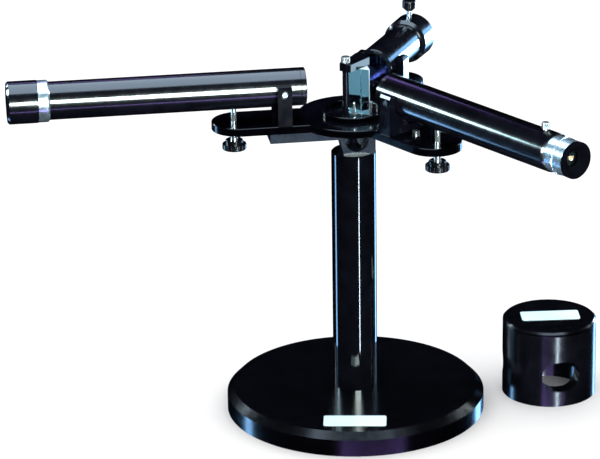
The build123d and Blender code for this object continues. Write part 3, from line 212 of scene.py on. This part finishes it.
def add_mesh(name, points, faces, mat, body, smooth=True):
    """Object from points in metres, riding on a body."""
    mesh = bpy.data.meshes.new(name)
    mesh.from_pydata([tuple(p) for p in points], [], faces)
    mesh.update()
    obj = bpy.data.objects.new(name, mesh)
    scene.collection.objects.link(obj)
    mesh.materials.append(mat)
    for polygon in mesh.polygons:
        polygon.use_smooth = smooth
    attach(obj, body)
    return obj


def directions(azimuth):
    """Outward, sideways and upward unit vectors of an arm."""
    a = radians(azimuth)
    return np.array((cos(a), sin(a), 0.0)), np.array((-sin(a), cos(a), 0.0)), np.array((0.0, 0.0, 1.0))


def turned(name, profile, origin, axis, mat, body, teeth=0, segments=96):
    """Turned piece. Point (s, r, bite) of the profile becomes origin + s axis + (r - bite w(t)) (u cos t + v sin t).

    w(t) is a triangle wave with the given number of teeth, so that a bite above zero cuts a straight knurl.
    """
    axis = np.array(axis, float)
    helper = np.array((0.0, 0.0, 1.0)) if abs(axis[2]) < 0.9 else np.array((1.0, 0.0, 0.0))
    u = np.cross(axis, helper)
    u /= np.linalg.norm(u)
    v = np.cross(axis, u)
    count = teeth * 4 if teeth else segments
    t = np.arange(count) * 2 * pi / count
    wave = np.abs(((np.arange(count) % 4) - 2) / 2) if teeth else np.zeros(count)
    points = []
    for s, r, bite in profile:
        radius = r - bite * wave
        points.append(
            np.array(origin)[None, :] + s * axis[None, :]
            + radius[:, None] * (np.cos(t)[:, None] * u[None, :] + np.sin(t)[:, None] * v[None, :])
        )
    points = np.concatenate(points) * MM
    faces = []
    rows = len(profile)
    for row in range(rows):
        after = (row + 1) % rows
        if profile[row][1] == 0 and profile[after][1] == 0:
            continue
        for k in range(count):
            n = (k + 1) % count
            faces.append((row * count + k, row * count + n, after * count + n, after * count + k))
    obj = add_mesh(name, points, faces, mat, body, smooth=False)
    merge(obj)
    return obj


def merge(obj):
    """Joins points that coincide and turns all faces outward."""
    work = bmesh.new()
    work.from_mesh(obj.data)
    bmesh.ops.remove_doubles(work, verts=work.verts, dist=1e-7)
    bmesh.ops.dissolve_degenerate(work, edges=work.edges, dist=1e-8)
    bmesh.ops.recalc_face_normals(work, faces=work.faces)
    work.to_mesh(obj.data)
    work.free()


def prism_outline(inset):
    """Three corners of the prism's section, moved in from the faces."""
    side = 21.5
    reach = side / np.sqrt(3) - 2 * inset
    turns = [radians(68.8 + 120 * k) for k in range(3)]
    return [np.array((4.6 + reach * cos(t), 4.1 + reach * sin(t))) for t in turns]


def slab(name, outline, low, high, mat, body):
    """Upright slab over an outline, from one height to another."""
    count = len(outline)
    points = [(p[0] * MM, p[1] * MM, z * MM) for z in (low, high) for p in outline]
    faces = [tuple(range(count))[::-1], tuple(range(count, 2 * count))]
    faces += [(k, (k + 1) % count, count + (k + 1) % count, count + k) for k in range(count)]
    return add_mesh(name, points, faces, mat, body, smooth=False)


# Prism: clear body between ground ends, with narrow ground strips along its edges
corners = prism_outline(0.0)
edge = 0.42
six = []
for k in range(3):
    here, before, after = corners[k], corners[k - 1], corners[(k + 1) % 3]
    six.append(here + (before - here) / np.linalg.norm(before - here) * edge)
    six.append(here + (after - here) / np.linalg.norm(after - here) * edge)
GROUND = 0.25
body_piece = slab("prism_clear", six, TABLE_TOP + GROUND, PRISM_TOP - GROUND, prism_glass, "stand")
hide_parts("prism")
slab("prism_ground_base", six, TABLE_TOP + 0.02, TABLE_TOP + GROUND - 0.01, frosted, "stand")
slab("prism_ground_top", six, PRISM_TOP - GROUND + 0.01, PRISM_TOP - 0.02, frosted, "stand")
for k in range(3):
    left, right = six[2 * k], six[2 * k + 1]
    out = (left + right) / 2 - np.array((4.6, 4.1))
    out = out / np.linalg.norm(out)
    strip = [left + out * 0.01, right + out * 0.01, right + out * 0.06, left + out * 0.06]
    slab("prism_ground_edge_%d" % k, strip, TABLE_TOP + 0.1, PRISM_TOP - 0.1, frosted, "stand")

# Knurled heads of the screws, replacing the plain ones
out_t, side_t, up = directions(TUBES["telescope"][0])
lock_place = out_t * 207.9 + side_t * TUBES["telescope"][1]
lock = turned(
    "lock_screw_knurled",
    [
        (278.25, 0, 0), (278.25, 1.5, 0), (280.78, 1.5, 0), (280.78, 2.5, 0), (281.1, 2.95, 0.28), (285.2, 2.95, 0.28),
        (285.58, 2.4, 0), (285.58, 0, 0),
    ],
    (lock_place[0], lock_place[1], 0), (0, 0, 1), chrome, "lock_screw_body", teeth=28,
)
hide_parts("lock_screw")
clamp = turned(
    "clamp_screw_knurled",
    [
        (268.0, 0, 0), (268.0, 1.5, 0), (283.6, 1.5, 0), (283.6, 3.0, 0), (284.0, 3.55, 0.3), (287.9, 3.55, 0.3),
        (288.4, 3.0, 0), (288.4, 0, 0),
    ],
    (-5.6, -9.5, 0), (0, 0, 1), chrome, "clamp_screw_body", teeth=32,
)
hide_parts("clamp_screw")

# Straight knurl around the ridge of the focus tube
origin_t = side_t * TUBES["telescope"][1] + up * TUBE_AXIS_Z
turned(
    "focus_ridge_knurl",
    [(227.15, 13.55, 0), (227.3, 13.95, 0.3), (228.7, 13.95, 0.3), (228.85, 13.55, 0)],
    origin_t, out_t, bright, "focus_body", teeth=90,
)

# Floor
floor_mesh = bpy.data.meshes.new("floor")
reach = 6.0
floor_corners = [(-reach, -reach, 0), (reach, -reach, 0), (reach, reach, 0), (-reach, reach, 0)]
floor_mesh.from_pydata(floor_corners, [], [(0, 1, 2, 3)])
floor = bpy.data.objects.new("floor", floor_mesh)
scene.collection.objects.link(floor)
floor_mat, floor_tree, floor_shader = new_material("floor")
floor_shader.inputs["Roughness"].default_value = 0.9
floor_shader.inputs["Specular IOR Level"].default_value = 0.0
pale = tint(floor_tree, noise(floor_tree, 3.0), (0.86, 0.86, 0.87), (0.90, 0.90, 0.90))
floor_tree.links.new(pale, floor_shader.inputs["Base Color"])
floor_tree.links.new(pale, floor_shader.inputs["Emission Color"])
floor_shader.inputs["Emission Strength"].default_value = 0.02
floor_mesh.materials.append(floor_mat)
floor.visible_glossy = False
floor.visible_transmission = False
floor.visible_shadow = False

# Surroundings: white behind the object and for soft light, black in reflections, dim blue through the glass
world = bpy.data.worlds.new("studio")
scene.world = world
world.use_nodes = True
world_tree = world.node_tree
background = world_tree.nodes["Background"]
path = world_tree.nodes.new("ShaderNodeLightPath")
mix = world_tree.nodes.new("ShaderNodeMix")
mix.data_type = "RGBA"
mix.inputs["A"].default_value = (1.35, 1.35, 1.35, 1)
mix.inputs["B"].default_value = (0.15, 0.30, 0.38, 1)
world_tree.links.new(path.outputs["Is Transmission Ray"], mix.inputs["Factor"])
world_tree.links.new(mix.outputs["Result"], background.inputs["Color"])
world.cycles_visibility.glossy = False


def receivers_of(name, objects, state):
    """Collection that tells a card which objects it lights (INCLUDE) or misses (EXCLUDE)."""
    group = bpy.data.collections.new(name)
    for obj in objects:
        group.objects.link(obj)
    for entry in group.collection_objects:
        entry.light_linking.link_state = state
    return group


# The cards light the object only, so the bench keeps its even white; some miss the level tops or one tube as well
LEVEL = ["base_plate", "cover_lid", "table_disc", "prism_platform", "collimator_arm", "scale_arm", "telescope_arm"]
not_floor = receivers_of("not_floor", [floor], "EXCLUDE")
tubes_only = receivers_of("tubes_only", [floor] + [nodes[name] for name in LEVEL], "EXCLUDE")
uprights = receivers_of("uprights", [floor, nodes["hub_block"]] + [nodes[name] for name in LEVEL], "EXCLUDE")
overhead_set = receivers_of("overhead_set", [floor, nodes["telescope_tube"]], "EXCLUDE")
eye_only = receivers_of("eye_only", [nodes["eyepiece_lenses"]], "INCLUDE")
clamp_only = receivers_of("clamp_only", [nodes["clamp_bar"]], "INCLUDE")
spindle_only = receivers_of("spindle_only", [nodes["spindle"]], "INCLUDE")


def card(name, place, size, power, colour, aim=(0, 0, 0.22), receivers=not_floor):
    """Area light facing the object."""
    data = bpy.data.lights.new(name, "AREA")
    data.shape = "RECTANGLE"
    data.size, data.size_y = size
    data.energy = power
    data.color = colour
    obj = bpy.data.objects.new(name, data)
    obj.visible_camera = False
    obj.light_linking.receiver_collection = receivers
    scene.collection.objects.link(obj)
    towards = (Vector(aim) - Vector(place)).normalized()
    turn = towards.to_track_quat("-Z", "Y").to_matrix().to_4x4()
    obj.matrix_world = Matrix.Translation(place) @ turn
    return obj


def card_at(name, azimuth, elevation, distance, size, radiance, colour, centre=(0, 0, 0.22), receivers=not_floor):
    """Card seen from the object in one direction, with the power that gives a stated radiance."""
    turn, rise = radians(azimuth), radians(elevation)
    place = (
        centre[0] + distance * cos(rise) * cos(turn),
        centre[1] + distance * cos(rise) * sin(turn),
        centre[2] + distance * sin(rise),
    )
    card(name, place, size, radiance * pi * size[0] * size[1], colour, aim=centre, receivers=receivers)


card("front_right_strip", (0.47, -1.02, 0.0), (0.05, 1.5), 14, (0.70, 0.88, 1.0), aim=(0, 0, 0), receivers=uprights)
card("back_right_strip", (0.80, 0.92, -0.1), (0.30, 1.2), 12, (0.25, 0.55, 1.0), aim=(0, 0, -0.1))
card("back_left_strip", (-1.14, 0.40, -0.1), (0.20, 1.2), 9, (0.25, 0.55, 1.0), aim=(0, 0, -0.1))
card("overhead", (0.0, 0.10, 1.45), (1.6, 1.5), 52, (0.50, 0.64, 0.80), receivers=overhead_set)
card_at("telescope_key", 170, 19, 1.3, (0.30, 0.17), 80, (0.60, 0.90, 1.0), receivers=tubes_only)
card_at("telescope_violet", 111, 41, 1.3, (0.5, 0.07), 5, (0.42, 0.30, 1.0))
card_at("collimator_key", -77, 11, 1.3, (0.6, 0.34), 95, (0.84, 1.0, 0.97), receivers=tubes_only)
card_at("collimator_violet", -76, -36, 1.2, (1.0, 0.04), 12, (0.45, 0.3, 1.0))
card_at("scale_key", 44.5, -7, 1.25, (0.14, 0.36), 90, (0.66, 0.84, 1.0))
card_at("base_left", 144, 29, 1.3, (0.16, 0.14), 60, (0.7, 0.88, 1.0), centre=(0.0, 0.0, 0.02))
card_at("base_right", 30.5, 31.5, 1.3, (0.16, 0.14), 45, (0.8, 0.92, 1.0), centre=(0.0, 0.0, 0.02))
card_at("eye_card", -11, -20.7, 0.15, (0.06, 0.035), 30, (1.0, 0.84, 0.60), centre=(0.15, -0.187, 0.265),
        receivers=eye_only)
card_at("clamp_card", 18.4, -20.7, 0.19, (0.07, 0.05), 12, (0.55, 0.8, 1.0), centre=(0.0, 0.0, 0.28),
        receivers=clamp_only)
card_at("spindle_card", 11, -20.7, 0.19, (0.03, 0.02), 20, (0.75, 0.9, 1.0), centre=(0.0, 0.0, 0.2217),
        receivers=spindle_only)

# Camera at the photo's place
PITCH, ROLL = radians(20.71), radians(-0.80)
forward = Vector((0, cos(PITCH), -sin(PITCH)))
right = Vector((1, 0, 0))
upward = Vector((0, sin(PITCH), cos(PITCH)))
right_rolled = right * cos(ROLL) + upward * sin(ROLL)
up_rolled = upward * cos(ROLL) - right * sin(ROLL)
camera_data = bpy.data.cameras.new("camera")
camera_data.sensor_width = 36.0
camera_data.lens = 3480.2 / 600 * 36.0
camera = bpy.data.objects.new("camera", camera_data)
scene.collection.objects.link(camera)
columns = Matrix((right_rolled, up_rolled, -forward)).transposed().to_4x4()
camera.matrix_world = Matrix.Translation((-0.0416, -2.5, 1.0916)) @ columns
scene.camera = camera

scene.view_settings.view_transform = "Standard"
scene.render.resolution_x = 600
scene.render.resolution_y = 459
